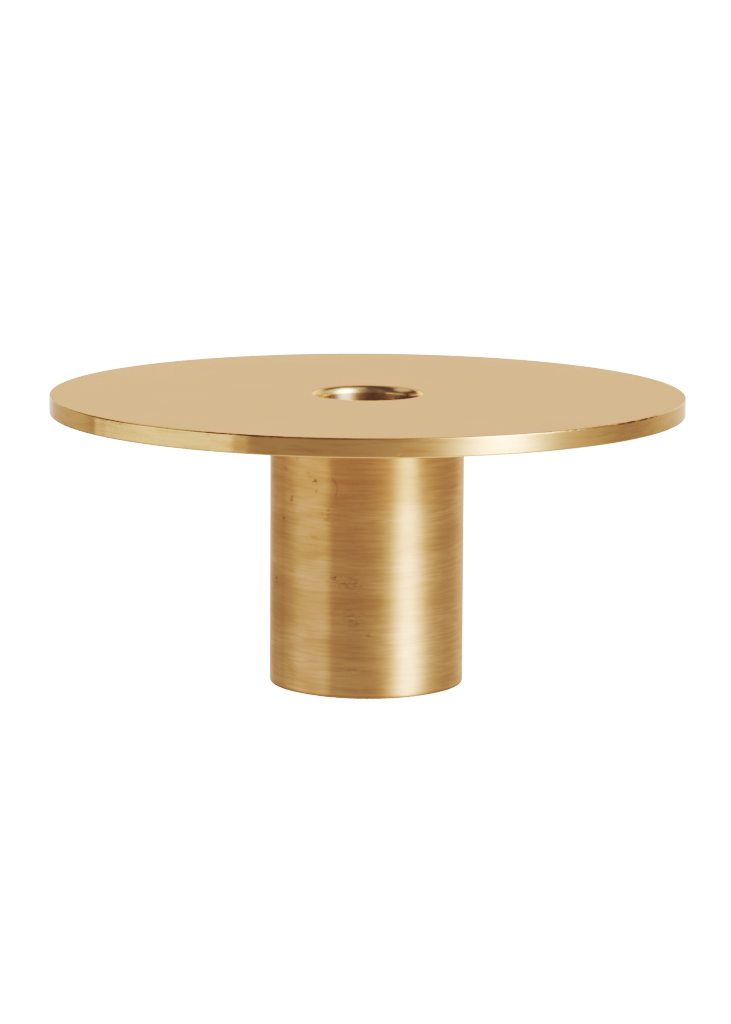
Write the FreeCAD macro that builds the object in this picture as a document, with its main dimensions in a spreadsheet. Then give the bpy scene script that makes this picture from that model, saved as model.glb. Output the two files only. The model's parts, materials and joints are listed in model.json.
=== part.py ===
"""Brass pillar candle holder: a wide round plate with a rolled-edge candle hole, on a short tube.

The plate is screwed from below to a turned candle socket.  One long bolt, put in from underneath,
pulls the socket towards a steel foot weight, and so clamps the tube between plate and weight.
A felt pad covers the bolt head and is what the holder stands on.

Millimetres, +Z up.  The origin is the centre of the felt pad's underside.
"""

import FreeCAD, Part
import Sketcher
import math
import os

# Driving dimensions: alias, value in millimetres, meaning.
SIZES = (
    ("plate_diameter", 152.0, "round plate, outside"),
    ("plate_thickness", 4.5, "round plate"),
    ("plate_edge", 0.3, "rounding of the plate's two outer edges"),
    ("lip_radius", 1.9, "rolled edge where the plate turns down into the candle hole"),
    ("bore_diameter", 24.0, "candle hole, for a 22 mm dinner candle"),
    ("bore_depth", 20.0, "candle socket's wall below the plate"),
    ("column_diameter", 46.6, "tube, outside"),
    ("column_wall", 2.5, "tube wall"),
    ("column_height", 65.5, "tube, end to end"),
    ("column_edge", 0.6, "rounding of the tube's lower outer edge"),
    ("seat_depth", 7.0, "recess at the tube's foot that the weight sits in"),
    ("seat_wall", 1.5, "tube wall left round that recess"),
    ("socket_wall", 1.5, "candle socket round its bore"),
    ("socket_floor", 9.0, "candle socket below its bore"),
    ("flange_thickness", 2.5, "candle socket's flange"),
    ("fit_gap", 0.1, "radial clearance of a piece that locates inside the tube"),
    ("thread_gap", 0.05, "radial clearance round a screw thread"),
    ("screw_circle", 34.0, "circle that the flange screws lie on"),
    ("screw_thread", 3.0, "flange screw, thread"),
    ("screw_head", 5.6, "flange screw, countersunk head"),
    ("screw_rim", 0.25, "flange screw, straight edge of the head"),
    ("screw_length", 5.0, "flange screw, head included"),
    ("screw_hole_depth", 3.0, "tapped hole in the plate's underside"),
    ("weight_height", 34.5, "foot weight, end to end"),
    ("weight_gap", 0.2, "radial clearance of the weight's upper part"),
    ("bolt_thread", 6.0, "tie bolt, thread"),
    ("bolt_length", 35.0, "tie bolt, under its head"),
    ("bolt_head", 10.0, "tie bolt, cap head"),
    ("bolt_head_height", 6.0, "tie bolt, cap head"),
    ("bolt_clearance", 6.6, "hole through the weight"),
    ("bolt_hole_depth", 7.5, "tapped hole in the socket's floor"),
    ("bolt_recess", 12.6, "recess in the weight for washer and head"),
    ("bolt_recess_depth", 9.0, "recess in the weight for washer and head"),
    ("washer_inside", 6.2, "split washer"),
    ("washer_outside", 11.8, "split washer"),
    ("washer_thickness", 1.6, "split washer"),
    ("felt_thickness", 1.5, "felt pad"),
    ("felt_proud", 0.5, "felt pad, below the tube's edge"),
    ("felt_gap", 0.3, "radial gap between the felt pad and the tube"),
    ("small_chamfer", 0.4, "edges that only have their burr taken off"),
)
SCREW_COUNT = 4
HEX_KEY_SCREW = 2.0
HEX_KEY_BOLT = 5.0
HEX_DEPTH_SCREW = 1.2
HEX_DEPTH_BOLT = 3.0
WASHER_SPLIT_DEG = 8.0
DRILL_POINT_DEG = 118.0
COUNTERSINK_DEG = 90.0
SAME_PLACE = 1e-4
SMALLEST_CUT = 1e-6

# Heights and radii that several pieces share, as expressions on the sheet.
COLUMN_FOOT = "Sizes.felt_proud"
COLUMN_TOP = "(Sizes.felt_proud + Sizes.column_height)"
PLATE_TOP = f"({COLUMN_TOP} + Sizes.plate_thickness)"
SEAT_TOP = "(Sizes.felt_proud + Sizes.seat_depth)"
WEIGHT_FOOT = "Sizes.felt_thickness"
WEIGHT_TOP = f"({WEIGHT_FOOT} + Sizes.weight_height)"
BOLT_RECESS_TOP = f"({WEIGHT_FOOT} + Sizes.bolt_recess_depth)"
HEAD_SEAT = f"({BOLT_RECESS_TOP} - Sizes.washer_thickness)"
FLANGE_UNDERSIDE = f"({COLUMN_TOP} - Sizes.flange_thickness)"
SOCKET_FLOOR_TOP = f"({COLUMN_TOP} - Sizes.bore_depth)"
SOCKET_UNDERSIDE = f"({SOCKET_FLOOR_TOP} - Sizes.socket_floor)"
BORE = "Sizes.bore_diameter / 2"
PLATE_RIM = "Sizes.plate_diameter / 2"
COLUMN_OUTSIDE = "Sizes.column_diameter / 2"
COLUMN_INSIDE = "(Sizes.column_diameter / 2 - Sizes.column_wall)"
SEAT_INSIDE = "(Sizes.column_diameter / 2 - Sizes.seat_wall)"
SOCKET_OUTSIDE = "(Sizes.bore_diameter / 2 + Sizes.socket_wall)"
SCREW_RADIUS = "Sizes.screw_circle / 2"
AXIS = None  # a corner's radius when it lies on the turning axis

# How Sketcher numbers its origin point, its axes and the points of a line or circle.
ORIGIN, HORIZONTAL_AXIS, VERTICAL_AXIS = -1, -1, -2
START, END, CENTRE = 1, 2, 3

doc = FreeCAD.newDocument("PillarCandleHolder")


def make_sheet():
    """Puts the driving dimensions into a spreadsheet, one row each."""
    sheet = doc.addObject("Spreadsheet::Sheet", "Sizes")
    for row, (alias, value, meaning) in enumerate(SIZES, start=1):
        sheet.set(f"A{row}", meaning)
        sheet.set(f"B{row}", str(value))
        sheet.setAlias(f"B{row}", alias)
    doc.recompute()
    return sheet


sizes = make_sheet()


def new_body(label):
    """A PartDesign body whose Label names its file."""
    body = doc.addObject("PartDesign::Body", label)
    body.Label = label
    return body


def origin_feature(body, role):
    """One of the body's own origin planes or axes."""
    return next(f for f in body.Origin.OriginFeatures if f.Role == role)


def new_sketch(body, name, plane, height=None):
    """A sketch on an origin plane, lifted to a height expression if one is given."""
    sketch = body.newObject("Sketcher::SketchObject", name)
    sketch.AttachmentSupport = [(origin_feature(body, plane), "")]
    sketch.MapMode = "FlatFace"
    if height:
        sketch.setExpression("AttachmentOffset.Base.z", height)
    return sketch


def polygon(count, radius):
    """Corners of a regular polygon round the sketch's origin."""
    step = 2 * math.pi / count
    return [
        FreeCAD.Vector(radius * math.cos(step * i), radius * math.sin(step * i), 0)
        for i in range(count)
    ]


def pin_down(sketch, line, kind, expression):
    """Drives one coordinate of a line's start point from the sheet."""
    index = sketch.addConstraint(Sketcher.Constraint(kind, ORIGIN, START, line, START, 1.0))
    sketch.setExpression(f"Constraints[{index}]", expression)


def draw_outline(sketch, corners):
    """A closed outline through corners, each (radius or AXIS, height) as sheet expressions."""
    count = len(corners)
    first_guess = polygon(count, 10.0)
    for i in range(count):
        sketch.addGeometry(Part.LineSegment(first_guess[i], first_guess[(i + 1) % count]), False)
    for i in range(count):
        sketch.addConstraint(Sketcher.Constraint("Coincident", i, END, (i + 1) % count, START))
    for i, (radius, height) in enumerate(corners):
        if radius is AXIS:
            sketch.addConstraint(Sketcher.Constraint("PointOnObject", i, START, VERTICAL_AXIS))
        else:
            pin_down(sketch, i, "DistanceX", radius)
        pin_down(sketch, i, "DistanceY", height)


def turn_profile(body, name, corners, angle=360.0):
    """Turns an outline in the XZ plane round the Z axis."""
    sketch = new_sketch(body, name + "_outline", "XZ_Plane")
    draw_outline(sketch, corners)
    turned = body.newObject("PartDesign::Revolution", name)
    turned.Profile = sketch
    turned.ReferenceAxis = (sketch, ["V_Axis"])
    turned.Angle = angle
    doc.recompute()
    return turned


def ring_edges(feature, radius, height):
    """Names of a feature's circular edges with this radius and height."""
    names = []
    for number, edge in enumerate(feature.Shape.Edges, start=1):
        if not isinstance(edge.Curve, Part.Circle):
            continue
        off_radius = abs(edge.Curve.Radius - radius)
        off_height = abs(edge.Curve.Center.z - height)
        if max(off_radius, off_height) < SAME_PLACE:
            names.append(f"Edge{number}")
    if not names:
        raise RuntimeError(f"{feature.Label}: no ring edge at radius {radius}, height {height}")
    return names


def soften(body, kind, name, radius, height, size):
    """Rounds or chamfers one ring edge; kind is Fillet or Chamfer and size a sheet expression."""
    last = body.Tip
    edges = ring_edges(last, radius, height)
    before = last.Shape.Volume
    feature = body.newObject("PartDesign::" + kind, name)
    feature.Base = (last, edges)
    feature.setExpression("Radius" if kind == "Fillet" else "Size", size)
    check_cut(body, feature, before)


def check_cut(body, feature, before):
    """Recomputes, and makes sure that a cutting feature took something off the volume before it."""
    doc.recompute()
    if feature.Shape.isNull() or feature.Shape.Volume >= before - SMALLEST_CUT:
        raise RuntimeError(f"{body.Label}: {feature.Name} cuts nothing")


def drill(body, name, height, diameter, depth, offset=None, head=None):
    """A hole drilled upwards from a plane at a height: through if it has no depth, at offset along
    X from the axis, and countersunk to the diameter head if that is given."""
    sketch = new_sketch(body, name + "_centre", "XY_Plane", height)
    centre = FreeCAD.Vector(10 if offset else 0, 0, 0)
    sketch.addGeometry(Part.Circle(centre, FreeCAD.Vector(0, 0, 1), 1.0), False)
    if offset:
        away = sketch.addConstraint(Sketcher.Constraint("DistanceX", ORIGIN, START, 0, CENTRE, 10.0))
        sketch.setExpression(f"Constraints[{away}]", offset)
        sketch.addConstraint(Sketcher.Constraint("PointOnObject", 0, CENTRE, HORIZONTAL_AXIS))
    else:
        sketch.addConstraint(Sketcher.Constraint("Coincident", 0, CENTRE, ORIGIN, START))
    size = sketch.addConstraint(Sketcher.Constraint("Radius", 0, 1.0))
    sketch.setExpression(f"Constraints[{size}]", f"({diameter}) / 2")
    doc.recompute()
    before = body.Shape.Volume
    hole = body.newObject("PartDesign::Hole", name)
    hole.Profile = sketch
    doc.recompute()
    hole.Reversed = True
    hole.setExpression("Diameter", diameter)
    if depth:
        hole.DepthType = "Dimension"
        hole.setExpression("Depth", depth)
        hole.DrillPoint = "Angled"
        hole.DrillPointAngle = DRILL_POINT_DEG
    else:
        hole.DepthType = "ThroughAll"
    if head:
        hole.HoleCutType = "Countersink"
        hole.HoleCutCountersinkAngle = COUNTERSINK_DEG
        hole.setExpression("HoleCutDiameter", head)
    check_cut(body, hole, before)
    return hole


def repeat_round(body, feature):
    """Repeats a cut once for each flange screw, round the Z axis."""
    before = body.Shape.Volume
    pattern = body.newObject("PartDesign::PolarPattern", feature.Name + "_ring")
    pattern.Originals = [feature]
    pattern.Axis = (origin_feature(body, "Z_Axis"), [""])
    pattern.Angle = 360.0
    pattern.Occurrences = SCREW_COUNT
    body.Tip = pattern
    check_cut(body, pattern, before)


def hex_socket(body, name, height, across_flats, depth):
    """A hexagonal key recess on the axis, cut upwards from a plane at a height."""
    sketch = new_sketch(body, name + "_outline", "XY_Plane", height)
    corner = polygon(6, across_flats / math.sqrt(3.0))
    for i in range(6):
        sketch.addGeometry(Part.LineSegment(corner[i], corner[(i + 1) % 6]), False)
        sketch.addConstraint(Sketcher.Constraint("Block", i))
    doc.recompute()
    before = body.Shape.Volume
    pocket = body.newObject("PartDesign::Pocket", name)
    pocket.Profile = sketch
    pocket.Length = depth
    pocket.Reversed = True
    check_cut(body, pocket, before)


def height_of_column_top():
    return sizes.felt_proud + sizes.column_height


def make_top_plate():
    """Round plate: rolled candle hole in the middle, four blind tapped holes underneath."""
    body = new_body("top_plate")
    turn_profile(
        body,
        "plate",
        [(BORE, COLUMN_TOP), (PLATE_RIM, COLUMN_TOP), (PLATE_RIM, PLATE_TOP), (BORE, PLATE_TOP)],
    )
    underside = height_of_column_top()
    top = underside + sizes.plate_thickness
    rim = sizes.plate_diameter / 2
    soften(body, "Fillet", "rolled_lip", sizes.bore_diameter / 2, top, "Sizes.lip_radius")
    soften(body, "Fillet", "upper_edge", rim, top, "Sizes.plate_edge")
    soften(body, "Fillet", "lower_edge", rim, underside, "Sizes.plate_edge")
    tapped = "Sizes.screw_thread + 2 * Sizes.thread_gap"
    hole = drill(body, "tapped_hole", COLUMN_TOP, tapped, "Sizes.screw_hole_depth", SCREW_RADIUS)
    repeat_round(body, hole)
    return body


def make_column_tube():
    """Tube with a stepped recess at its foot for the weight."""
    body = new_body("column_tube")
    turn_profile(
        body,
        "tube",
        [
            (COLUMN_INSIDE, SEAT_TOP),
            (SEAT_INSIDE, SEAT_TOP),
            (SEAT_INSIDE, COLUMN_FOOT),
            (COLUMN_OUTSIDE, COLUMN_FOOT),
            (COLUMN_OUTSIDE, COLUMN_TOP),
            (COLUMN_INSIDE, COLUMN_TOP),
        ],
    )
    outside = sizes.column_diameter / 2
    inside = outside - sizes.column_wall
    seat = outside - sizes.seat_wall
    soften(body, "Fillet", "foot_edge", outside, sizes.felt_proud, "Sizes.column_edge")
    soften(body, "Chamfer", "seat_lead_in", seat, sizes.felt_proud, "Sizes.small_chamfer")
    soften(body, "Chamfer", "top_lead_in", inside, height_of_column_top(), "Sizes.small_chamfer")
    return body


def make_candle_socket():
    """Turned cup under the plate: its flange locates in the tube and takes the four screws."""
    body = new_body("candle_socket")
    flange = f"{COLUMN_INSIDE} - Sizes.fit_gap"
    turn_profile(
        body,
        "socket",
        [
            (AXIS, SOCKET_UNDERSIDE),
            (SOCKET_OUTSIDE, SOCKET_UNDERSIDE),
            (SOCKET_OUTSIDE, FLANGE_UNDERSIDE),
            (flange, FLANGE_UNDERSIDE),
            (flange, COLUMN_TOP),
            (BORE, COLUMN_TOP),
            (BORE, SOCKET_FLOOR_TOP),
            (AXIS, SOCKET_FLOOR_TOP),
        ],
    )
    top = height_of_column_top()
    flange_radius = sizes.column_diameter / 2 - sizes.column_wall - sizes.fit_gap
    barrel = sizes.bore_diameter / 2 + sizes.socket_wall
    bottom = top - sizes.bore_depth - sizes.socket_floor
    flange_foot = top - sizes.flange_thickness
    soften(body, "Chamfer", "flange_edge", flange_radius, flange_foot, "Sizes.small_chamfer")
    soften(body, "Chamfer", "barrel_edge", barrel, bottom, "2 * Sizes.small_chamfer")
    tapped = "Sizes.bolt_thread + 2 * Sizes.thread_gap"
    drill(body, "bolt_hole", SOCKET_UNDERSIDE, tapped, "Sizes.bolt_hole_depth")
    clearance = "Sizes.screw_thread + 4 * Sizes.thread_gap"
    head = "Sizes.screw_head + 2 * Sizes.screw_rim + 4 * Sizes.thread_gap"
    hole = drill(body, "screw_hole", FLANGE_UNDERSIDE, clearance, None, SCREW_RADIUS, head)
    repeat_round(body, hole)
    return body


def make_base_weight():
    """Stepped steel weight that closes the tube's foot and carries the tie bolt."""
    body = new_body("base_weight")
    foot = f"{SEAT_INSIDE} - Sizes.fit_gap"
    slug = f"{COLUMN_INSIDE} - Sizes.weight_gap"
    turn_profile(
        body,
        "weight",
        [
            ("Sizes.bolt_clearance / 2", BOLT_RECESS_TOP),
            ("Sizes.bolt_recess / 2", BOLT_RECESS_TOP),
            ("Sizes.bolt_recess / 2", WEIGHT_FOOT),
            (foot, WEIGHT_FOOT),
            (foot, SEAT_TOP),
            (slug, SEAT_TOP),
            (slug, WEIGHT_TOP),
            ("Sizes.bolt_clearance / 2", WEIGHT_TOP),
        ],
    )
    slug_radius = sizes.column_diameter / 2 - sizes.column_wall - sizes.weight_gap
    top = sizes.felt_thickness + sizes.weight_height
    soften(body, "Chamfer", "top_edge", slug_radius, top, "2 * Sizes.small_chamfer")
    recess_radius = sizes.bolt_recess / 2
    soften(body, "Chamfer", "recess_edge", recess_radius, sizes.felt_thickness, "Sizes.small_chamfer")
    return body


def make_tie_bolt():
    """Cap-head bolt from below, through washer and weight, into the socket's floor."""
    body = new_body("tie_bolt")
    thread = "Sizes.bolt_thread / 2"
    head_foot = f"({HEAD_SEAT} - Sizes.bolt_head_height)"
    tip = f"({HEAD_SEAT} + Sizes.bolt_length)"
    turn_profile(
        body,
        "bolt",
        [
            (AXIS, head_foot),
            ("Sizes.bolt_head / 2", head_foot),
            ("Sizes.bolt_head / 2", HEAD_SEAT),
            (thread, HEAD_SEAT),
            (thread, tip),
            (AXIS, tip),
        ],
    )
    seat = sizes.felt_thickness + sizes.bolt_recess_depth - sizes.washer_thickness
    head_bottom = seat - sizes.bolt_head_height
    tip_height = seat + sizes.bolt_length
    soften(body, "Chamfer", "head_edge", sizes.bolt_head / 2, head_bottom, "Sizes.small_chamfer")
    soften(body, "Chamfer", "tip_edge", sizes.bolt_thread / 2, tip_height, "Sizes.small_chamfer")
    hex_socket(body, "key_recess", head_foot, HEX_KEY_BOLT, HEX_DEPTH_BOLT)
    return body


def make_lock_washer():
    """Split spring washer between bolt head and weight, pressed flat."""
    body = new_body("lock_washer")
    inside, outside = "Sizes.washer_inside / 2", "Sizes.washer_outside / 2"
    corners = [
        (inside, HEAD_SEAT),
        (outside, HEAD_SEAT),
        (outside, BOLT_RECESS_TOP),
        (inside, BOLT_RECESS_TOP),
    ]
    turn_profile(body, "ring", corners, 360.0 - WASHER_SPLIT_DEG)
    return body


def make_flange_screw(number):
    """Countersunk screw, head down, that holds the socket's flange against the plate."""
    body = new_body(f"flange_screw_{number}")
    thread = "Sizes.screw_thread / 2"
    head = "Sizes.screw_head / 2"
    rim_top = f"({FLANGE_UNDERSIDE} + Sizes.screw_rim)"
    cone_top = f"({rim_top} + Sizes.screw_head / 2 - Sizes.screw_thread / 2)"
    tip = f"({FLANGE_UNDERSIDE} + Sizes.screw_length)"
    turn_profile(
        body,
        "screw",
        [
            (AXIS, FLANGE_UNDERSIDE),
            (head, FLANGE_UNDERSIDE),
            (head, rim_top),
            (thread, cone_top),
            (thread, tip),
            (AXIS, tip),
        ],
    )
    tip_height = height_of_column_top() - sizes.flange_thickness + sizes.screw_length
    soften(body, "Chamfer", "tip_edge", sizes.screw_thread / 2, tip_height, "Sizes.small_chamfer")
    hex_socket(body, "key_recess", FLANGE_UNDERSIDE, HEX_KEY_SCREW, HEX_DEPTH_SCREW)
    angle = 2 * math.pi / SCREW_COUNT * (number - 1)
    body.setExpression("Placement.Base.x", f"Sizes.screw_circle / 2 * {math.cos(angle):.9f}")
    body.setExpression("Placement.Base.y", f"Sizes.screw_circle / 2 * {math.sin(angle):.9f}")
    doc.recompute()
    return body


def make_felt_pad():
    """Round felt pad stuck to the weight; it stands a little proud of the tube."""
    body = new_body("felt_pad")
    edge = f"{SEAT_INSIDE} - Sizes.felt_gap"
    turn_profile(
        body,
        "pad",
        [(AXIS, "0 mm"), (edge, "0 mm"), (edge, "Sizes.felt_thickness"), (AXIS, "Sizes.felt_thickness")],
    )
    return body


def check_and_write(bodies):
    """Stops on any failed object or bad shape, then writes one STEP file for each body."""
    doc.recompute()
    for thing in doc.Objects:
        if "Invalid" in thing.State or "Error" in thing.State:
            raise RuntimeError(f"{thing.Label} failed: {thing.State}")
    for body in bodies:
        if body.Shape.isNull() or not body.Shape.isValid() or not body.Shape.Solids:
            raise RuntimeError(f"{body.Label} has no valid solid")
    os.makedirs("parts", exist_ok=True)
    for body in bodies:
        body.Shape.exportStep(os.path.join("parts", body.Label + ".step"))
        box = body.Shape.BoundBox
        print(f"{body.Label}: {body.Shape.Volume / 1000:.3f} cm3, z {box.ZMin:.2f} to {box.ZMax:.2f}")


def main():
    pieces = [
        make_top_plate(),
        make_column_tube(),
        make_candle_socket(),
        make_base_weight(),
        make_tie_bolt(),
        make_lock_washer(),
        make_felt_pad(),
    ]
    pieces += [make_flange_screw(number) for number in range(1, SCREW_COUNT + 1)]
    check_and_write(pieces)


main()
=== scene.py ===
"""Looks of the brass pillar candle holder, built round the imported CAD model.

The plate, the column and the felt pad are turned again here as fine meshes with worn edges, small
dents and hand-polished unevenness.  The pieces inside keep their CAD shapes and get materials.
Lengths are metres, heights are above the surface that the holder stands on.
"""

import functools
import json
import math

import bpy
import numpy as np
from mathutils import Matrix, Vector, noise


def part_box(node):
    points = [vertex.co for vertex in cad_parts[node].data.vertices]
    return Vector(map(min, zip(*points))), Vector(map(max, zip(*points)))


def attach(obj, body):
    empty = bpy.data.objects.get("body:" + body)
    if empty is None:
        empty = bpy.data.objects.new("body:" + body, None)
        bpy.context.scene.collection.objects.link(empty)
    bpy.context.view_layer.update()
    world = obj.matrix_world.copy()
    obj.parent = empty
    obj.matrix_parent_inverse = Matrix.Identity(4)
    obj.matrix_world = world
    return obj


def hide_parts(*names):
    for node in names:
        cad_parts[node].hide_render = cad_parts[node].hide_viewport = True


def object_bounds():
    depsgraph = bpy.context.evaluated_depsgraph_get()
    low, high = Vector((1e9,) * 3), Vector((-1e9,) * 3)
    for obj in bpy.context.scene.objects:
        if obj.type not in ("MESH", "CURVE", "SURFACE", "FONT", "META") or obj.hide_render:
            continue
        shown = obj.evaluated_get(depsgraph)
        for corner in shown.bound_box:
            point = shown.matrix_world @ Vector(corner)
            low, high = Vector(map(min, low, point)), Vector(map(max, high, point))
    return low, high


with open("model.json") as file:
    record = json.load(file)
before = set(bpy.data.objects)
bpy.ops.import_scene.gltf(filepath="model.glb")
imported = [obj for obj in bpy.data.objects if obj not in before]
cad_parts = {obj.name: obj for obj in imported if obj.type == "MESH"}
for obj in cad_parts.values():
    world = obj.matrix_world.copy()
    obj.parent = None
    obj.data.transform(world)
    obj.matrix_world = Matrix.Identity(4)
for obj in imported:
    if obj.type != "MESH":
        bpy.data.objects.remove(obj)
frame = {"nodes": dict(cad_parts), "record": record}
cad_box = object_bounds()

MM = 0.001

# Places and sizes, from the frame where it holds them.
PLATE_FOOT, PLATE_TOP = (corner.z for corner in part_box("top_plate"))
PLATE_RADIUS = cad_box[1].x
COLUMN_FOOT, COLUMN_TOP = (corner.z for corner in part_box("column_tube"))
COLUMN_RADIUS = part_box("column_tube")[1].x
WEIGHT_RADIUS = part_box("base_weight")[1].x
SOCKET_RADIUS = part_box("candle_socket")[1].x
FELT_RADIUS, _, FELT_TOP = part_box("felt_pad")[1]
BORE_MOUNT = next(m for m in frame["record"]["mounts"] if m["name"] == "candle_bore")
BORE_RADIUS = BORE_MOUNT["dims"]["r_mm"] * MM
LIP_RADIUS = 1.9 * MM
MOUTH_RADIUS = BORE_RADIUS + LIP_RADIUS
EDGE_RADIUS = 0.3 * MM
COLUMN_INSIDE = SOCKET_RADIUS + 0.1 * MM
SEAT_RADIUS = WEIGHT_RADIUS + 0.1 * MM
SEAT_DEPTH = 7.0 * MM
FOOT_EDGE = 0.6 * MM
LEAD_IN = 0.4 * MM
# Edge loops this far from a rounded edge keep the flat beside it flat.
SUPPORT = 0.15 * MM


# ---------------------------------------------------------------- outlines and turned meshes


def straight(start, end, count):
    """Points along a straight run, without its last point."""
    return [
        (start[0] + (end[0] - start[0]) * i / count, start[1] + (end[1] - start[1]) * i / count)
        for i in range(count)
    ]


def arc(centre, radius, from_deg, to_deg, count):
    """Points along an arc, without its last point; 0 degrees is outwards and 90 is up."""
    angles = [math.radians(from_deg + (to_deg - from_deg) * i / count) for i in range(count)]
    return [
        (centre[0] + radius * math.cos(a), centre[1] + radius * math.sin(a)) for a in angles
    ]


def turned(name, outline, segments, shape=None):
    """A closed solid turned round Z.  The outline is a loop of (radius, height), or runs from
    axis to axis.  shape takes arrays of angle, radius and height and returns new ones."""
    outline = np.array(outline)
    on_axis = outline[:, 0] < 1e-9
    angle = np.linspace(0, 2 * math.pi, segments, endpoint=False)[:, None]
    radius = np.repeat(outline[None, :, 0], segments, 0)
    height = np.repeat(outline[None, :, 1], segments, 0)
    angle = np.repeat(angle, len(outline), 1)
    if shape:
        radius, height = shape(angle, radius, height)
    radius = np.where(on_axis[None, :], 0.0, radius)
    points = np.stack([radius * np.cos(angle), radius * np.sin(angle), height], -1)
    index = np.arange(segments * len(outline)).reshape(segments, len(outline))
    index[:, on_axis] = index[0, on_axis]
    around = np.roll(index, -1, 0)
    steps = [(i, i + 1) for i in range(len(outline) - 1)]
    if not on_axis.any():
        steps.append((len(outline) - 1, 0))
    faces = []
    for low, high in steps:
        if on_axis[low]:
            faces += zip(index[:, low], around[:, high], index[:, high])
        elif on_axis[high]:
            faces += zip(index[:, low], around[:, low], index[:, high])
        else:
            faces += zip(index[:, low], around[:, low], around[:, high], index[:, high])
    used = np.unique(index)
    new_number = np.full(index.size, -1)
    new_number[used] = np.arange(len(used))
    mesh = bpy.data.meshes.new(name)
    faces = [new_number[list(face)].tolist() for face in faces]
    mesh.from_pydata(points.reshape(-1, 3)[used].tolist(), [], faces)
    mesh.polygons.foreach_set("use_smooth", [True] * len(mesh.polygons))
    mesh.update()
    piece = bpy.data.objects.new(name, mesh)
    bpy.context.scene.collection.objects.link(piece)
    return piece


def wander(angle, cycles, seed, height=0.0):
    """Smooth noise round the axis that meets itself: about that many waves in a turn."""
    ring = cycles / (2 * math.pi)

    def sample(a, h):
        return noise.noise(Vector((ring * math.cos(a), ring * math.sin(a), seed + h)))

    return np.vectorize(sample)(angle, height)


def dent(angle, height, at_deg, at_height, across, along):
    """1 in the middle of a small dent on a round surface, falling to 0 outside it."""
    turn = (angle - math.radians(at_deg) + math.pi) % (2 * math.pi) - math.pi
    far = (turn / across) ** 2 + ((height - at_height) / along) ** 2
    return np.exp(-np.minimum(far, 50.0))


# ---------------------------------------------------------------- pieces

# Small dents in the plate's rim: degrees round Z from +X, depth below the top, width, height.
RIM_DENTS = (
    (222.1, 1.1 * MM, 0.30 * MM, 0.55 * MM),
    (241.9, 1.3 * MM, 0.22 * MM, 0.60 * MM),
    (275.5, 3.9 * MM, 0.25 * MM, 0.25 * MM),
    (31.0, 2.0 * MM, 0.30 * MM, 0.40 * MM),
    (118.0, 0.9 * MM, 0.25 * MM, 0.50 * MM),
    (160.0, 3.1 * MM, 0.35 * MM, 0.35 * MM),
)
RIM_DENT_DEPTH = 0.07 * MM
# Stretches of the upper edge that were knocked about: from and to degrees.
ROUGH_EDGE = ((300.0, 330.0), (20.0, 42.0), (150.0, 171.0))
# Degrees over which each stretch begins and ends.
ROUGH_FADE = 4
# How much smooth wear and how much chipping take off the edge, and the most that both may take,
# as parts of its radius.
EDGE_WEAR, EDGE_CHIPS, EDGE_MOST = 0.12, 0.35, 0.6
# Noise below this leaves no chip.
CHIP_LEVEL = 0.05
# How far the wear reaches from the edge.
EDGE_REACH = 1.6 * EDGE_RADIUS
# Faces round each turned piece.
PLATE_SEGMENTS, COLUMN_SEGMENTS, FELT_SEGMENTS = 1440, 720, 540


def shape_plate(angle, radius, height):
    """Wears the plate's upper edge unevenly and dents its rim."""
    one_turn = angle[:, 0]
    long_waves = wander(one_turn, cycles=14, seed=3.0)
    short_waves = wander(one_turn, cycles=60, seed=5.0)
    wear = 0.35 * long_waves + 0.25 * short_waves
    degrees = np.degrees(one_turn)
    rough = sum(
        np.clip((degrees - low) / ROUGH_FADE, 0, 1) * np.clip((high - degrees) / ROUGH_FADE, 0, 1)
        for low, high in ROUGH_EDGE
    )
    chips = np.maximum(0.0, wander(one_turn, cycles=420, seed=8.0) - CHIP_LEVEL) * rough
    taken = np.clip(EDGE_WEAR * wear + EDGE_CHIPS * chips, 0, EDGE_MOST)
    inwards = EDGE_RADIUS * taken[:, None]
    near_edge = np.clip(1 - (PLATE_RADIUS - radius) / EDGE_REACH, 0, 1)
    near_top = np.clip(1 - (PLATE_TOP - height) / EDGE_REACH, 0, 1)
    corner = near_edge * near_top
    radius = radius - inwards * corner
    height = height - inwards * corner
    on_rim = PLATE_RADIUS - radius < EDGE_RADIUS
    for at_deg, below_top, width, tall in RIM_DENTS:
        hit = dent(angle, height, at_deg, PLATE_TOP - below_top, width / PLATE_RADIUS, tall)
        radius = radius - RIM_DENT_DEPTH * hit * on_rim
    return radius, height


def make_plate():
    """Round plate with its rolled candle hole."""
    lip_centre = (MOUTH_RADIUS, PLATE_TOP - LIP_RADIUS)
    rim = PLATE_RADIUS - EDGE_RADIUS
    upper_edge = (rim, PLATE_TOP - EDGE_RADIUS)
    lower_edge = (rim, PLATE_FOOT + EDGE_RADIUS)
    top_inside = (MOUTH_RADIUS + SUPPORT, PLATE_TOP)
    top_outside = (rim - SUPPORT, PLATE_TOP)
    foot_outside = (rim - SUPPORT, PLATE_FOOT)
    foot_inside = (BORE_RADIUS + SUPPORT, PLATE_FOOT)
    outline = (
        straight((BORE_RADIUS, PLATE_FOOT), (BORE_RADIUS, lip_centre[1]), 2)
        + arc(lip_centre, LIP_RADIUS, 180, 90, 24)
        + straight((MOUTH_RADIUS, PLATE_TOP), top_inside, 1)
        + straight(top_inside, top_outside, 4)
        + straight(top_outside, (rim, PLATE_TOP), 1)
        + arc(upper_edge, EDGE_RADIUS, 90, 0, 6)
        + straight((PLATE_RADIUS, upper_edge[1]), (PLATE_RADIUS, lower_edge[1]), 20)
        + arc(lower_edge, EDGE_RADIUS, 0, -90, 5)
        + straight((rim, PLATE_FOOT), foot_outside, 1)
        + straight(foot_outside, foot_inside, 3)
        + straight(foot_inside, (BORE_RADIUS, PLATE_FOOT), 1)
    )
    return turned("plate", outline[::-1], PLATE_SEGMENTS, shape_plate)


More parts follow.
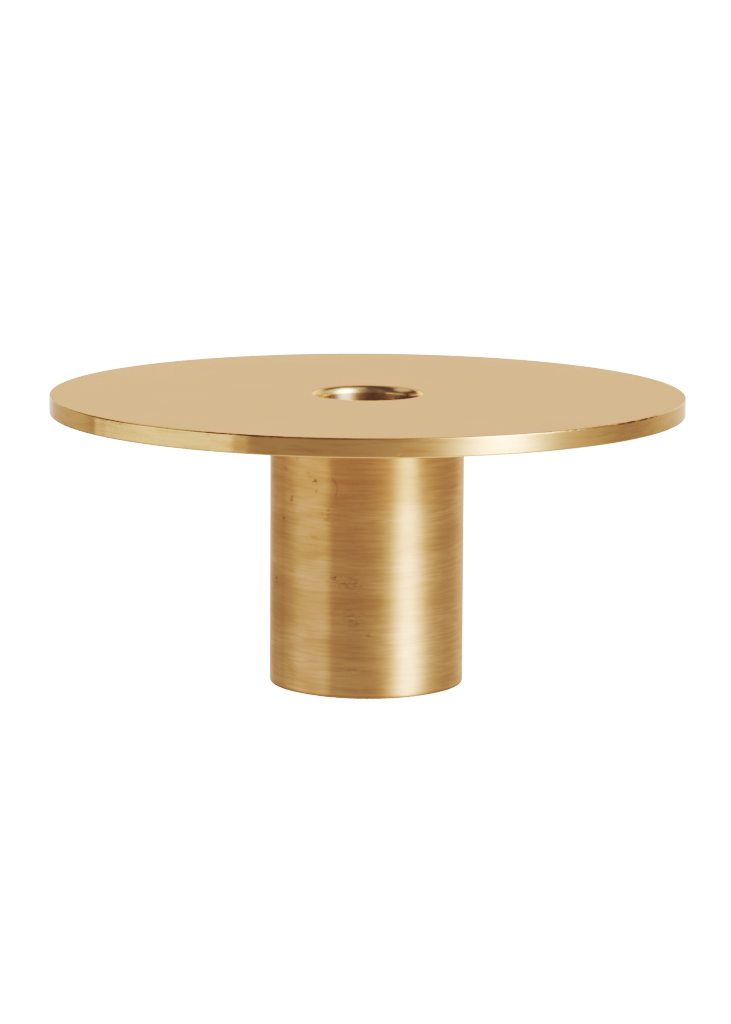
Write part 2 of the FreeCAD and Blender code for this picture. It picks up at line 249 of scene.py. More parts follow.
# How far hand polishing leaves the column uneven, and how ragged and bumpy the felt is.
COLUMN_UNEVEN = 0.012 * MM
WAVES_PER_METRE = 90
FELT_RAGGED = 0.10 * MM
FELT_BUMP = 0.05 * MM
FELT_BUMP_SIZE = 0.9 * MM


def shape_column(angle, radius, height):
    """Leaves the outside of the tube very slightly uneven, as hand polishing does."""
    outside = radius > COLUMN_RADIUS - 0.05 * MM
    uneven = np.zeros_like(radius)
    for row in np.where(outside.any(0))[0]:
        up = height[0, row] * WAVES_PER_METRE
        uneven[:, row] = wander(angle[:, row], cycles=9, seed=20.0, height=up)
    return radius - COLUMN_UNEVEN * (1 + uneven) * outside, height


def make_column():
    """Tube with its rounded foot and the recess for the weight."""
    foot_centre = (COLUMN_RADIUS - FOOT_EDGE, COLUMN_FOOT + FOOT_EDGE)
    seat_top = COLUMN_FOOT + SEAT_DEPTH
    outline = (
        straight((COLUMN_INSIDE, seat_top), (SEAT_RADIUS, seat_top), 1)
        + straight((SEAT_RADIUS, seat_top), (SEAT_RADIUS, COLUMN_FOOT + LEAD_IN), 2)
        + straight((SEAT_RADIUS, COLUMN_FOOT + LEAD_IN), (SEAT_RADIUS + LEAD_IN, COLUMN_FOOT), 1)
        + straight((SEAT_RADIUS + LEAD_IN, COLUMN_FOOT), (foot_centre[0], COLUMN_FOOT), 1)
        + arc(foot_centre, FOOT_EDGE, -90, 0, 8)
        + straight((COLUMN_RADIUS, foot_centre[1]), (COLUMN_RADIUS, COLUMN_TOP), 64)
        + straight((COLUMN_RADIUS, COLUMN_TOP), (COLUMN_INSIDE + LEAD_IN, COLUMN_TOP), 1)
        + straight((COLUMN_INSIDE + LEAD_IN, COLUMN_TOP), (COLUMN_INSIDE, COLUMN_TOP - LEAD_IN), 1)
        + straight((COLUMN_INSIDE, COLUMN_TOP - LEAD_IN), (COLUMN_INSIDE, seat_top), 6)
    )
    return turned("column", outline, COLUMN_SEGMENTS, shape_column)


def shape_felt(angle, radius, height):
    """Makes the cut edge ragged and the underside fibrous; the pad still fits its place."""

    def bumps(a, r):
        return noise.noise(Vector((r * math.cos(a), r * math.sin(a), 0)) / FELT_BUMP_SIZE)

    ragged = FELT_RAGGED * (1 + wander(angle[:, 0], cycles=90, seed=30.0))[:, None]
    inwards = ragged * (radius / FELT_RADIUS) ** 8
    bumpy = np.vectorize(bumps)(angle, radius)
    under = height < FELT_TOP / 2
    return radius - inwards, height + np.where(under, FELT_BUMP * (1 + bumpy), 0.0)


def make_felt():
    """Felt disc under the weight, with a soft rounded lower edge."""
    soft = 0.35 * MM
    centre = (FELT_RADIUS - soft, soft)
    outline = (
        straight((0.0, 0.0), (centre[0], 0.0), 60)
        + arc(centre, soft, -90, 0, 5)
        + straight((FELT_RADIUS, soft), (FELT_RADIUS, FELT_TOP), 3)
        + straight((FELT_RADIUS, FELT_TOP), (0.0, FELT_TOP), 3)
        + [(0.0, FELT_TOP)]
    )
    return turned("felt", outline, FELT_SEGMENTS, shape_felt)


# ---------------------------------------------------------------- materials


class Tree:
    """A node tree, with short ways to add the nodes that the materials here use."""

    def __init__(self, owner):
        owner.use_nodes = True
        self.tree = owner.node_tree
        self.tree.nodes.clear()

    def put(self, socket, value):
        if isinstance(value, bpy.types.NodeSocket):
            self.tree.links.new(value, socket)
        else:
            socket.default_value = value

    def node(self, kind, inputs=None, **settings):
        made = self.tree.nodes.new("ShaderNode" + kind)
        for name, value in settings.items():
            setattr(made, name, value)
        for name, value in (inputs or {}).items():
            self.put(made.inputs[name], value)
        return made

    def maths(self, operation, *values):
        return self.node("Math", dict(enumerate(values)), operation=operation).outputs[0]

    def place(self, stretch=(1, 1, 1)):
        """Where the surface is, in metres, times a stretch along each axis."""
        here = self.node("TexCoord").outputs["Object"]
        return self.node("VectorMath", {0: here, 1: stretch}, operation="MULTIPLY").outputs[0]

    def noise(self, stretch, detail=2.0, roughness=0.5, distortion=0.0):
        inputs = {
            "Vector": self.place(stretch),
            "Scale": 1.0,
            "Detail": detail,
            "Roughness": roughness,
            "Distortion": distortion,
        }
        return self.node("TexNoise", inputs).outputs["Fac"]

    def fade(self, value, low, high, start=0.0, end=1.0):
        """start where value is below low, end where it is above high, and smooth in between."""
        inputs = {"Value": value, "From Min": low, "From Max": high, "To Min": start, "To Max": end}
        return self.node("MapRange", inputs, interpolation_type="SMOOTHSTEP").outputs["Result"]

    def window(self, value, low, high, soft):
        """1 between low and high, falling to 0 over soft on each side of both."""
        rise = self.fade(value, low - soft, low + soft)
        fall = self.fade(value, high - soft, high + soft, start=1.0, end=0.0)
        return self.maths("MULTIPLY", rise, fall)

    def bell(self, value, middle, width):
        """1 in the middle, falling off to 0 as a bell curve does."""
        off = self.maths("DIVIDE", self.maths("SUBTRACT", value, middle), width)
        square = self.maths("MULTIPLY", off, off)
        return self.maths("EXPONENT", self.maths("MULTIPLY", square, -1.0))

    def add(self, *values):
        return functools.reduce(lambda total, value: self.maths("ADD", total, value), values)

    def times(self, *values):
        return functools.reduce(lambda total, value: self.maths("MULTIPLY", total, value), values)

    def height(self):
        return self.node("SeparateXYZ", {"Vector": self.place()}).outputs["Z"]

    def azimuth(self, x, y):
        """Degrees from -Y towards +X."""
        radians = self.maths("ARCTAN2", x, self.maths("MULTIPLY", y, -1.0))
        return self.maths("DEGREES", radians)

    def turning_tangent(self):
        """Which way the lathe's marks run: round Z."""
        return self.node("Tangent", direction_type="RADIAL", axis="Z").outputs[0]

    def mix(self, factor, first, second):
        made = self.node("Mix", {"Factor": factor}, data_type="RGBA", blend_type="MIX")
        self.put(made.inputs[6], first)
        self.put(made.inputs[7], second)
        return made.outputs[2]

    def bump(self, height, distance, strength):
        inputs = {"Height": height, "Distance": distance, "Strength": strength}
        return self.node("Bump", inputs).outputs["Normal"]

    def finish_surface(self, **inputs):
        """One Principled shader on the output; input names have _ for a space."""
        named = {name.replace("_", " "): value for name, value in inputs.items()}
        shader = self.node("BsdfPrincipled", named)
        self.node("OutputMaterial", {"Surface": shader.outputs[0]})
        return shader


def rgb(red, green, blue):
    return (red, green, blue, 1.0)


BRASS = rgb(0.87, 0.60, 0.36)
BRASS_SATIN = rgb(0.90, 0.60, 0.375)
BRASS_BRUSHED = rgb(0.91, 0.64, 0.41)
BRASS_BROWN = rgb(0.70, 0.45, 0.25)
BRASS_RED = rgb(0.74, 0.40, 0.22)
SPECK = rgb(0.22, 0.12, 0.06)
MARK_AND_SHADE_BROWN = rgb(0.40, 0.24, 0.12)
BRASS_PALE = rgb(0.88, 0.67, 0.44)
BRASS_WALL = rgb(0.90, 0.75, 0.56)
BRASS_EDGE_TINT = rgb(1.0, 0.92, 0.84)
LIP_EDGE_TINT = rgb(1.0, 0.80, 0.60)
STEEL = rgb(0.34, 0.33, 0.32)
STEEL_OILY = rgb(0.20, 0.18, 0.16)
ZINC = rgb(0.62, 0.63, 0.65)
ZINC_DULL = rgb(0.48, 0.48, 0.47)
FELT_DEEP = rgb(0.035, 0.024, 0.018)
FELT_FIBRE = rgb(0.13, 0.095, 0.07)
FELT_CLOUD = rgb(0.06, 0.04, 0.03)
# A quarter turn stretches reflections across the tool marks.
ALONG_TANGENT = 0.25
# Heights between which the lip's polish gives way to the coarser wall of the hole.
LIP_END = (PLATE_TOP - 1.05 * LIP_RADIUS, PLATE_TOP - 0.75 * LIP_RADIUS)
# The satin of the top carries on over this part of the lip.
SATIN_LIP = 0.40 * LIP_RADIUS


def specks(tree, size, share):
    """Small dark spots, scattered: a factor that is 1 in a spot."""
    cells = tree.node(
        "TexVoronoi", {"Vector": tree.place((1, 1, 1)), "Scale": 1 / size}, feature="F1"
    )
    small = tree.fade(cells.outputs["Distance"], 0.10, 0.22, start=1.0, end=0.0)
    chosen = tree.node("SeparateColor", {"Color": cells.outputs["Color"]}).outputs[0]
    return tree.maths("MULTIPLY", small, tree.fade(chosen, 1 - share, 1 - share + 0.02))


def brass_top():
    """Fine even satin, from blasting, with a little cloudiness and a few faint specks."""
    material = bpy.data.materials.new("brass_top")
    t = Tree(material)
    cloud = t.noise((28, 28, 28), detail=3.0)
    grain = t.noise((5200, 5200, 5200), detail=2.0, roughness=0.6)
    colour = t.mix(t.fade(cloud, 0.35, 0.75, start=0.0, end=0.10), BRASS_SATIN, BRASS_BROWN)
    colour = t.mix(t.maths("MULTIPLY", specks(t, size=2.6 * MM, share=0.02), 0.12), colour, SPECK)
    rough = t.fade(grain, 0.3, 0.7, start=0.46, end=0.51)
    normal = t.bump(grain, 0.002 * MM, 0.55)
    t.finish_surface(
        Base_Color=colour,
        Metallic=1.0,
        Roughness=rough,
        Normal=normal,
        Specular_Tint=BRASS_EDGE_TINT,
    )
    return material


def brass_lip():
    """Polished where the plate rolls over into the hole, and coarser turning down its wall."""
    material = bpy.data.materials.new("brass_lip")
    t = Tree(material)
    lines = t.noise((90, 90, 2600), detail=3.0, roughness=0.6)
    cloud = t.noise((70, 70, 70), detail=3.0)
    wall = t.fade(t.height(), *LIP_END, start=1.0, end=0.0)
    colour = t.mix(t.fade(cloud, 0.40, 0.75, start=0.0, end=0.20), BRASS_PALE, BRASS_BROWN)
    colour = t.mix(wall, colour, BRASS_WALL)
    t.finish_surface(
        Base_Color=colour,
        Metallic=1.0,
        Roughness=t.maths("MULTIPLY_ADD", wall, 0.15, 0.19),
        Anisotropic=1.0,
        Anisotropic_Rotation=ALONG_TANGENT,
        Tangent=t.turning_tangent(),
        Normal=t.bump(lines, 0.001 * MM, t.maths("MULTIPLY", wall, 0.6)),
        Specular_Tint=LIP_EDGE_TINT,
    )
    return material


# Stretches of the plate's upper edge that are dull: degrees from -Y towards +X, and how dark.
DULL_EDGE = ((-33, -12, 0.5), (34, 50, 0.4), (46, 64, 0.9), (100, 140, 0.6), (-170, -130, 0.6))
DULL_FADE = 5
# Heights between which the rim turns into its upper edge.
CORNER = (PLATE_TOP - 0.42 * MM, PLATE_TOP - 0.22 * MM)


def brass_rim():
    """Bright turned edge with fine lines round it and a little brown."""
    material = bpy.data.materials.new("brass_rim")
    t = Tree(material)
    lines = t.noise((60, 60, 5200), detail=3.0, roughness=0.6)
    bands = t.noise((90, 90, 900), detail=3.0, roughness=0.6)
    blotch = t.noise((90, 90, 260), detail=3.0, roughness=0.6)
    colour = t.mix(t.fade(bands, 0.45, 0.75, start=0.0, end=0.45), BRASS, BRASS_BROWN)
    colour = t.mix(t.fade(blotch, 0.5, 0.8, start=0.0, end=0.35), colour, BRASS_RED)
    flat_x, flat_y, height = t.node("SeparateXYZ", {"Vector": t.place()}).outputs
    azimuth = t.azimuth(flat_x, flat_y)
    corner = t.fade(height, *CORNER)
    broken = t.fade(t.noise((420, 420, 0), detail=3.0, roughness=0.7), 0.36, 0.56)
    for low, high, strength in DULL_EDGE:
        begins = t.fade(azimuth, low, low + DULL_FADE)
        ends = t.fade(azimuth, high - DULL_FADE, high, start=strength, end=0.0)
        colour = t.mix(t.times(begins, ends, corner, broken), colour, SPECK)
    rough = t.fade(lines, 0.3, 0.7, start=0.16, end=0.20)
    normal = t.bump(lines, 0.0012 * MM, 0.6)
    t.finish_surface(
        Base_Color=colour,
        Metallic=1.0,
        Roughness=rough,
        Anisotropic=1.0,
        Anisotropic_Rotation=ALONG_TANGENT,
        Tangent=t.turning_tangent(),
        Normal=normal,
        Specular_Tint=BRASS_EDGE_TINT,
    )
    return material


# Marks on the column: degrees from -Y towards +X, height, half width, half height, strength.
COLUMN_MARKS = (
    (-35.6, 53.6 * MM, 0.9 * MM, 0.5 * MM, 0.7),
    (-32.1, 52.0 * MM, 0.9 * MM, 0.7 * MM, 1.0),
    (-33.5, 53.0 * MM, 0.9 * MM, 0.5 * MM, 0.9),
    (-30.3, 49.6 * MM, 0.6 * MM, 0.6 * MM, 0.6),
    (-45.1, 57.0 * MM, 0.9 * MM, 0.5 * MM, 0.5),
    (-49.8, 47.4 * MM, 0.8 * MM, 1.8 * MM, 0.5),
    (-56.9, 54.0 * MM, 1.6 * MM, 0.7 * MM, 0.5),
    (-57.4, 42.0 * MM, 1.0 * MM, 0.5 * MM, 0.6),
    (-23.3, 44.4 * MM, 2.0 * MM, 2.8 * MM, 0.35),
    (-29.9, 38.6 * MM, 3.6 * MM, 0.6 * MM, 0.3),
    (-18.0, 29.3 * MM, 0.8 * MM, 0.5 * MM, 0.9),
    (-22.5, 29.0 * MM, 2.6 * MM, 0.9 * MM, 0.3),
    (-9.4, 28.2 * MM, 4.4 * MM, 2.2 * MM, 0.25),
    (-7.3, 19.8 * MM, 3.6 * MM, 2.6 * MM, 0.28),
    (1.4, 16.0 * MM, 0.7 * MM, 0.5 * MM, 0.7),
    (-10.3, 7.2 * MM, 5.0 * MM, 0.7 * MM, 0.3),
    (-67.6, 26.5 * MM, 1.0 * MM, 1.3 * MM, 0.6),
    (96, 44 * MM, 3.5 * MM, 3.0 * MM, 0.25),
    (140, 25 * MM, 4.0 * MM, 2.0 * MM, 0.25),
    (188, 52 * MM, 3.0 * MM, 3.5 * MM, 0.25),
    (236, 18 * MM, 4.0 * MM, 2.5 * MM, 0.25),
)
# A short curved scuff: where its arc is centred, its radius, and half the line's width.
SCUFF = (-24.9, 50.6 * MM, 3.0 * MM, 0.22 * MM)
# Heights between which the painted contact shade at the column's foot gives out.
PAINTED_FOOT_SHADE = (COLUMN_FOOT + 0.3 * MM, COLUMN_FOOT + 0.9 * MM)


def from_column_place(tree, azimuth, height):
    """The way here from a place on the column's outside; the azimuth is from -Y towards +X."""
    a = math.radians(azimuth)
    place = (COLUMN_RADIUS * math.sin(a), -COLUMN_RADIUS * math.cos(a), height)
    here = tree.node("TexCoord").outputs["Object"]
    return tree.node("VectorMath", {0: here, 1: place}, operation="SUBTRACT").outputs[0]


def length(tree, way):
    return tree.node("VectorMath", {0: way}, operation="LENGTH").outputs["Value"]


def mark(tree, azimuth, height, half_width, half_height, strength):
    """The strength near a place on the column's outside, falling to 0 round it."""
    away = from_column_place(tree, azimuth, height)
    stretch = (1 / half_width, 1 / half_width, 1 / half_height)
    away = tree.node("VectorMath", {0: away, 1: stretch}, operation="MULTIPLY").outputs[0]
    return tree.fade(length(tree, away), 0.3, 1.3, start=strength, end=0.0)


def scuff(tree, azimuth, height, radius, half_line):
    """1 on a short arc, open towards -X, and 0 off it."""
    away = from_column_place(tree, azimuth, height)
    off = tree.maths("ABSOLUTE", tree.maths("SUBTRACT", length(tree, away), radius))
    line = tree.fade(off, 0.2 * half_line, 1.5 * half_line, start=1.0, end=0.0)
    side = tree.node("VectorMath", {0: away, 1: (1, 0, 0.2)}, operation="DOT_PRODUCT")
    closed = tree.fade(side.outputs["Value"], 0.5 * radius, 0.8 * radius)
    return tree.maths("MULTIPLY", line, closed)


def brass_column():
    """Brushed round and round, with a worn brown bloom, a few dark marks and one scuff."""
    material = bpy.data.materials.new("brass_column")
    t = Tree(material)
    lines = t.noise((150, 150, 3600), detail=3.0, roughness=0.6)
    streaks = t.noise((110, 110, 1500), detail=4.0, roughness=0.7)
    bloom = t.noise((60, 60, 150), detail=4.0, roughness=0.6, distortion=0.4)
    bands = t.noise((22, 22, 95), detail=2.0, roughness=0.5, distortion=0.3)
    colour = t.mix(t.fade(streaks, 0.36, 0.64, start=0.0, end=0.40), BRASS_BRUSHED, BRASS_BROWN)
    colour = t.mix(t.fade(bloom, 0.42, 0.68, start=0.0, end=0.28), colour, BRASS_BROWN)
    colour = t.mix(t.fade(bands, 0.38, 0.62, start=0.0, end=0.26), colour, BRASS_BROWN)
    near = 0.0
    for place in COLUMN_MARKS:
        near = t.maths("MAXIMUM", near, mark(t, *place))
    pits = t.fade(t.noise((700, 700, 1900), detail=3.0, roughness=0.6), 0.42, 0.62)
    pits = t.maths("MULTIPLY", pits, near)
    colour = t.mix(t.maths("MULTIPLY", pits, 0.8), colour, MARK_AND_SHADE_BROWN)
    colour = t.mix(t.maths("MULTIPLY", scuff(t, *SCUFF), 0.20), colour, MARK_AND_SHADE_BROWN)
    # Painted shade: brown darkens the foot where the column meets the floor, standing in for the
    # contact shadow.
    colour = t.mix(t.fade(t.height(), *PAINTED_FOOT_SHADE, start=0.6, end=0.0), colour, MARK_AND_SHADE_BROWN)
    rough = t.fade(bloom, 0.35, 0.75, start=0.32, end=0.36)
    normal = t.bump(lines, 0.0020 * MM, 0.6)
    t.finish_surface(
        Base_Color=colour,
        Metallic=1.0,
        Roughness=rough,
        Anisotropic=1.0,
        Anisotropic_Rotation=ALONG_TANGENT,
        Tangent=t.turning_tangent(),
        Normal=normal,
        Specular_Tint=BRASS_EDGE_TINT,
    )
    return material


RINGS_PER_METRE = 3400


def brass_turned():
    """Plain turned brass for what is seen from below or down the hole: rings of tool marks."""
    material = bpy.data.materials.new("brass_turned")
    t = Tree(material)
    flat = t.place((1, 1, 0))
    radius = t.node("VectorMath", {0: flat}, operation="LENGTH").outputs["Value"]
    across = t.maths("MULTIPLY", t.maths("ADD", radius, t.height()), RINGS_PER_METRE)
    rings = t.node("TexNoise", {"W": across, "Detail": 3.0}, noise_dimensions="1D").outputs["Fac"]
    cloud = t.noise((40, 40, 40), detail=3.0)
    colour = t.mix(t.fade(cloud, 0.35, 0.75, start=0.1, end=0.6), BRASS, BRASS_BROWN)
    rough = t.fade(rings, 0.3, 0.7, start=0.24, end=0.36)
    normal = t.bump(rings, 0.004 * MM, 0.6)
    t.finish_surface(
        Base_Color=colour,
        Metallic=1.0,
        Roughness=rough,
        Normal=normal,
        Specular_Tint=BRASS_EDGE_TINT,
    )
    return material


def steel_turned():
    """Lightly oiled turned steel, for the weight."""
    material = bpy.data.materials.new("steel_turned")
    t = Tree(material)
    lines = t.noise((80, 80, 3000), detail=3.0, roughness=0.6)
    cloud = t.noise((60, 60, 60), detail=4.0)
    colour = t.mix(t.fade(cloud, 0.3, 0.8), STEEL, STEEL_OILY)
    rough = t.fade(cloud, 0.3, 0.7, start=0.34, end=0.52)
    t.finish_surface(
        Base_Color=colour, Metallic=1.0, Roughness=rough, Normal=t.bump(lines, 0.004 * MM, 0.5)
    )
    return material


def zinc_plate():
    """Zinc-plated steel, for the fasteners."""
    material = bpy.data.materials.new("zinc_plate")
    t = Tree(material)
    cloud = t.noise((400, 400, 400), detail=4.0, roughness=0.6)
    colour = t.mix(t.fade(cloud, 0.3, 0.7), ZINC, ZINC_DULL)
    rough = t.fade(cloud, 0.3, 0.7, start=0.25, end=0.42)
    t.finish_surface(
        Base_Color=colour, Metallic=1.0, Roughness=rough, Normal=t.bump(cloud, 0.003 * MM, 0.4)
    )
    return material


def brown_felt():
    """Pressed wool felt: matted short fibres, lighter where they stand up."""
    material = bpy.data.materials.new("brown_felt")
    t = Tree(material)
    one_way = t.noise((900, 4200, 900), detail=3.0, roughness=0.6, distortion=1.2)
    other_way = t.noise((4200, 900, 900), detail=3.0, roughness=0.6, distortion=1.2)
    matted = t.maths("MAXIMUM", one_way, other_way)
    cloud = t.noise((150, 150, 150), detail=3.0)
    colour = t.mix(t.fade(matted, 0.45, 0.75), FELT_DEEP, FELT_FIBRE)
    colour = t.mix(t.fade(cloud, 0.3, 0.7, start=0.0, end=0.35), colour, FELT_CLOUD)
    t.finish_surface(
        Base_Color=colour,
        Roughness=0.95,
        Sheen_Weight=0.6,
        Sheen_Roughness=0.5,
        Normal=t.bump(matted, 0.12 * MM, 0.8),
    )
    return material


# The plate's materials, in the order of its slots.
TOP, RIM, UNDERSIDE, HOLE = range(4)


def dress_plate(piece):
    """Gives the plate its finishes: satin top, bright rim, turned underside and bright hole."""
    mesh = piece.data
    for material in (brass_top(), brass_rim(), MATERIALS["brass_turned"], brass_lip()):
        mesh.materials.append(material)
    centres = np.zeros(len(mesh.polygons) * 3)
    mesh.polygons.foreach_get("center", centres)
    centres = centres.reshape(-1, 3)
    radius = np.hypot(centres[:, 0], centres[:, 1])
    height = centres[:, 2]
    on_rim = (radius > PLATE_RADIUS - EDGE_RADIUS) & (height < PLATE_TOP - 0.15 * EDGE_RADIUS)
    below = height < PLATE_FOOT + 0.1 * MM
    index = np.where(on_rim, RIM, TOP)
    index = np.where(below & ~on_rim, UNDERSIDE, index)
    index = np.where(radius < MOUTH_RADIUS - SATIN_LIP, HOLE, index)
    mesh.polygons.foreach_set("material_index", index.astype(np.int32))


# ---------------------------------------------------------------- light, floor and camera

# The studio is described by direction, in degrees: azimuths run from -Y towards +X and elevations
# up from level.  Brightness is on the tone curve's scale, where WHITE_LEVEL shows as white.
WHITE_LEVEL = 3.0
# Elevations between which the table gives way to what stands beyond it.
HORIZON = (-11.9, -3.9)
# The card on the left: where it starts, where it folds towards the holder, where it ends.
CARD_START, CARD_FOLD, CARD_END = -113.9, -107.5, -48.5
CARD_SOFT = 0.7
CARD_WHOLE, CARD_NEAR_LEAF, WASH = 1.1, 0.5, 0.79
KEY_LOW, KEY_TALL, KEY_GLOW = 5.0, 3.6, 0.51
ROOM, BACK, WALL, HIGH_LEFT, HIGH_RIGHT = 0.2, 0.64, 0.27, 0.42, 0.40
TABLE_NEAR, TABLE_FAR = 0.795, 0.50
# What the table gains or loses under the key light, at its lighter side and at its darker side.
TABLE_UNDER_KEY, TABLE_LIGHTER, TABLE_DARKER = 0.23, 0.16, -0.32


def left_card(t, azimuth, elevation):
    """A low bright card on the left; its near leaf is brighter."""
    whole = t.window(azimuth, CARD_START, CARD_END, CARD_SOFT)
    near_leaf = t.window(azimuth, CARD_FOLD, CARD_END, CARD_SOFT)
    leaves = t.add(t.times(whole, CARD_WHOLE), t.times(near_leaf, CARD_NEAR_LEAF))
    return t.times(leaves, t.fade(elevation, -8.5, 1.5, start=1.0, end=0.0))


def left_wash(t, azimuth, elevation):
    """Light that spills over the top of the card and stops short at its right-hand end."""
    begins = t.fade(azimuth, -106, -81)
    ends = t.fade(azimuth, -44.0, -41.0, start=1.0, end=0.0)
    return t.times(begins, ends, t.window(elevation, -3.5, 12.8, soft=6), WASH)


def key_light(t, azimuth, elevation):
    """A tall soft light on the right, which leans away as it goes up, and the glow round it."""
    below_knee = t.fade(elevation, -3, 9, start=1.0, end=0.0)
    low = t.times(t.bell(azimuth, middle=48.3, width=13.0), below_knee, KEY_LOW)
    lean = t.fade(elevation, 10, 60, start=54.5, end=66)
    above_knee = t.window(elevation, 11, 60, soft=8)
    tall = t.times(t.bell(azimuth, middle=lean, width=21), above_knee, KEY_TALL)
    glow = t.times(t.bell(azimuth, middle=58, width=48), KEY_GLOW)
    return t.add(low, tall, glow)


def behind(t, azimuth, elevation):
    """Pale things behind the holder: low ones left and right of it, and a wall between them."""
    low_top = t.fade(azimuth, -176, -144, start=32, end=9)
    under_top = t.fade(elevation, low_top, t.add(low_top, 16), start=1.0, end=0.0)
    far = t.fade(azimuth, -176, -143, start=0.36, end=0.0)
    near = t.fade(azimuth, -126, -103, start=0.65, end=0.0)
    left = t.times(t.add(far, near), under_top)
    right = t.times(t.fade(azimuth, 103, 152), t.fade(elevation, 24, 44, start=1.0, end=0.0))
    straight_behind = t.fade(t.maths("ABSOLUTE", azimuth), 152, 172)
    wall = t.times(straight_behind, t.fade(elevation, 22, 38, start=1.0, end=0.0), WALL)
    return t.add(t.times(t.add(left, right), BACK), wall)


def high_left(t, azimuth, elevation):
    """A dim panel well above the card."""
    panel = t.times(t.window(azimuth, -166, -86, soft=8), t.window(elevation, 36, 58, soft=5))
    return t.times(panel, HIGH_LEFT)


def high_right(t, azimuth, elevation):
    """A dim glow above and beyond the key light, for what the plate doesn't shade."""
    glow = t.times(t.bell(azimuth, middle=114, width=16), t.fade(elevation, 14, 34))
    return t.times(glow, HIGH_RIGHT)


def table_light(t, azimuth, elevation):
    """The pale table: brighter near the holder and under the key light, uneven beside it."""
    table = t.fade(elevation, -45, -15, start=TABLE_NEAR, end=TABLE_FAR)
    table = t.add(table, t.times(t.bell(azimuth, middle=40, width=20), TABLE_UNDER_KEY))
    lighter = t.times(t.bell(azimuth, middle=117, width=18), TABLE_LIGHTER)
    darker = t.times(t.bell(azimuth, middle=-147, width=17), TABLE_DARKER)
    steep = t.fade(elevation, -22, -10, start=1.0, end=0.0)
    return t.add(table, t.times(t.add(lighter, darker), steep))


def small_changes(t, azimuth, elevation):
    """A faint lift beside the card, and a dip beyond the key light that turns to a lift above."""
    by_card = t.fade(elevation, -8, 8, start=0.02, end=0.11)
    by_key = t.fade(elevation, 0, 10, start=-0.05, end=0.10)
    lift = t.times(t.bell(azimuth, middle=-36, width=14), by_card)
    dip = t.times(t.bell(azimuth, middle=104, width=12), by_key)
    return t.add(lift, dip)


def studio():
    """World light: a pale table below the horizon, a low bright card on the left, a tall soft key
    light on the right, a pale wall behind and a dim room.  The camera sees plain white."""
    world = bpy.data.worlds.new("studio")
    bpy.context.scene.world = world
    t = Tree(world)
    way = t.node("TexCoord").outputs["Generated"]
    x, y, z = t.node("SeparateXYZ", {"Vector": way}).outputs
    azimuth = t.azimuth(x, y)
    elevation = t.maths("DEGREES", t.maths("ARCSINE", z))
    above = t.fade(elevation, *HORIZON)
    below = t.maths("SUBTRACT", 1.0, above)

    def lights(*kinds):
        return t.add(*(kind(t, azimuth, elevation) for kind in kinds))

    sky = t.add(ROOM, lights(left_card, key_light, behind, high_left))
    outside = lights(left_wash, small_changes, high_right)
    light = t.add(t.times(sky, above), t.times(lights(table_light), below), outside)
    seen = t.node("LightPath").outputs["Is Camera Ray"]
    strength = t.node("Mix", {"Factor": seen}, data_type="FLOAT")
    t.put(strength.inputs[2], light)
    t.put(strength.inputs[3], WHITE_LEVEL)
    background = t.node("Background", {"Color": rgb(1, 1, 1), "Strength": strength.outputs[0]})
    t.node("OutputWorld", {"Surface": background.outputs[0]})


FLOOR_HALF = 30.0
FLOOR_DROP = 0.02 * MM
FLOOR_GLOW = 2.4


def make_floor():
    """Plain white floor, bright enough to be as white as the background; it isn't seen from below
    and the brass doesn't mirror it, because the studio light already holds what is mirrored."""
    corners = [(-1, -1, 0), (1, -1, 0), (1, 1, 0), (-1, 1, 0)]
    mesh = bpy.data.meshes.new("floor")
    mesh.from_pydata([Vector(c) * FLOOR_HALF for c in corners], [], [(0, 1, 2, 3)])
    floor = bpy.data.objects.new("floor", mesh)
    bpy.context.scene.collection.objects.link(floor)
    # Off to one side, so that its two triangles don't meet right under the holder.
    floor.location = (0.0, 0.3 * FLOOR_HALF, -FLOOR_DROP)
    material = bpy.data.materials.new("floor_white")
    t = Tree(material)
    white_inputs = {
        "Base Color": rgb(0.9, 0.9, 0.9),
        "Roughness": 1.0,
        "Specular IOR Level": 0.0,
        "Emission Color": rgb(1, 1, 1),
        "Emission Strength": FLOOR_GLOW,
    }
    white = t.node("BsdfPrincipled", white_inputs)
    clear = t.node("BsdfTransparent")
    from_below = t.node("NewGeometry").outputs["Backfacing"]
    both = t.node("MixShader", {0: from_below, 1: white.outputs[0], 2: clear.outputs[0]})
    t.node("OutputMaterial", {"Surface": both.outputs[0]})
    mesh.materials.append(material)
    floor.visible_glossy = False


# Brightness in the scene, and how bright it's shown.
TONE_CURVE = (
    (0.137, 0.05),
    (0.243, 0.18),
    (0.38, 0.38),
    (0.594, 0.60),
    (0.928, 0.77),
    (1.45, 0.91),
    (2.1, 0.975),
)


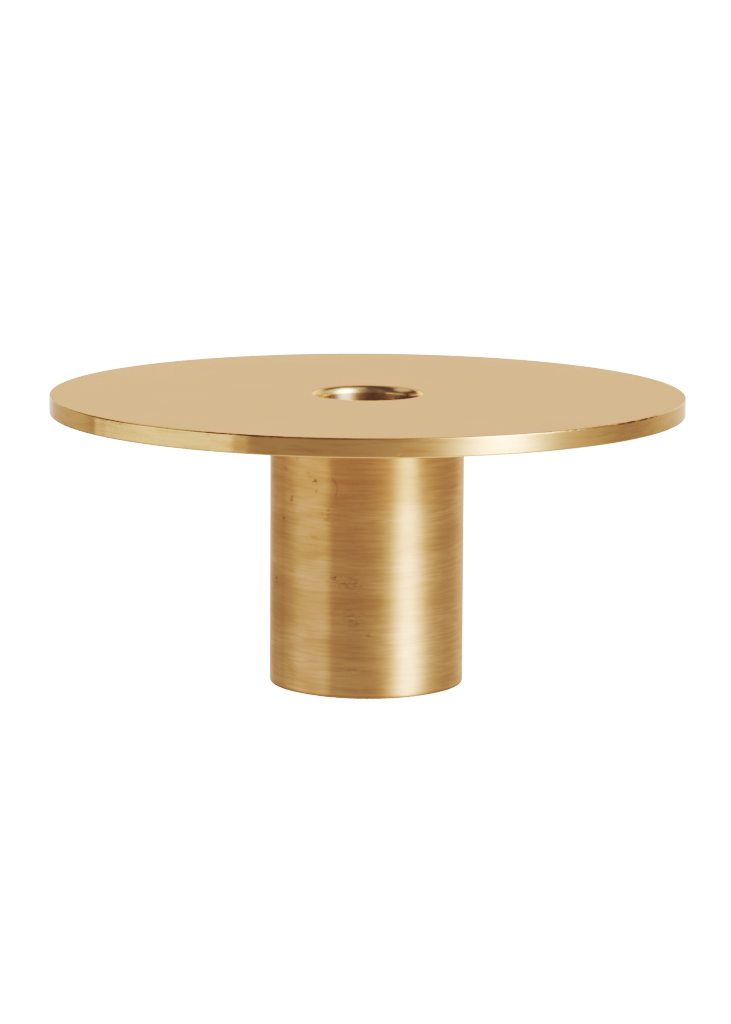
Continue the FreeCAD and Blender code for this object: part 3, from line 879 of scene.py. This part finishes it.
def film_curve():
    """A camera's tone curve: more contrast in the shadows and a soft shoulder to white."""
    view = bpy.context.scene.view_settings
    view.view_transform = "Standard"
    view.use_curve_mapping = True
    mapping = view.curve_mapping
    mapping.white_level = (WHITE_LEVEL,) * 3
    tone = mapping.curves[3]
    while len(tone.points) > 2:
        tone.points.remove(tone.points[1])
    tone.points[0].location = (0.0, 0.0)
    tone.points[1].location = (1.0, 1.0)
    for level, shown in TONE_CURVE:
        tone.points.new(level / WHITE_LEVEL, shown)
    mapping.update()


# The usual product shot: distance in plate radii, angles in degrees, lens and sensor in mm, and
# the small shift that places the holder in the frame, in parts of the frame's height.
CAMERA_DISTANCE = 13.877
CAMERA_ELEVATION = 7.679
CAMERA_PITCH = 9.233
CAMERA_ROLL = 0.333
LENS, SENSOR = 154.96, 36.0
SHIFT_X, SHIFT_Y = -0.00135, 0.00034


def make_camera():
    """Camera in front of the holder, a little above it and very slightly rolled."""
    distance = CAMERA_DISTANCE * PLATE_RADIUS
    elevation = math.radians(CAMERA_ELEVATION)
    data = bpy.data.cameras.new("camera")
    data.sensor_width, data.lens = SENSOR, LENS
    data.shift_x, data.shift_y = SHIFT_X, SHIFT_Y
    data.clip_start, data.clip_end = 0.05, 100.0
    camera = bpy.data.objects.new("camera", data)
    bpy.context.scene.collection.objects.link(camera)
    place = Vector((0, -distance * math.cos(elevation), PLATE_TOP + distance * math.sin(elevation)))
    tilt = Matrix.Rotation(math.radians(90 - CAMERA_PITCH), 4, "X")
    roll = Matrix.Rotation(math.radians(CAMERA_ROLL), 4, "Z")
    camera.matrix_world = Matrix.Translation(place) @ tilt @ roll
    bpy.context.scene.camera = camera


# ---------------------------------------------------------------- the scene

MATERIALS = {
    "brass_turned": brass_turned(),
    "steel_turned": steel_turned(),
    "zinc_plate": zinc_plate(),
}

plate = make_plate()
dress_plate(plate)
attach(plate, "root")
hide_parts("top_plate")

column = make_column()
column.data.materials.append(brass_column())
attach(column, "root")
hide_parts("column_tube")

felt = make_felt()
felt.data.materials.append(brown_felt())
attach(felt, "root")
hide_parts("felt_pad")

CAD_FINISH = {"candle_socket": "brass_turned", "base_weight": "steel_turned"}
for name, node in frame["nodes"].items():
    finish = CAD_FINISH.get(name, "zinc_plate")
    if not node.hide_render:
        node.data.materials.clear()
        node.data.materials.append(MATERIALS[finish])

studio()
make_floor()
film_curve()
make_camera()
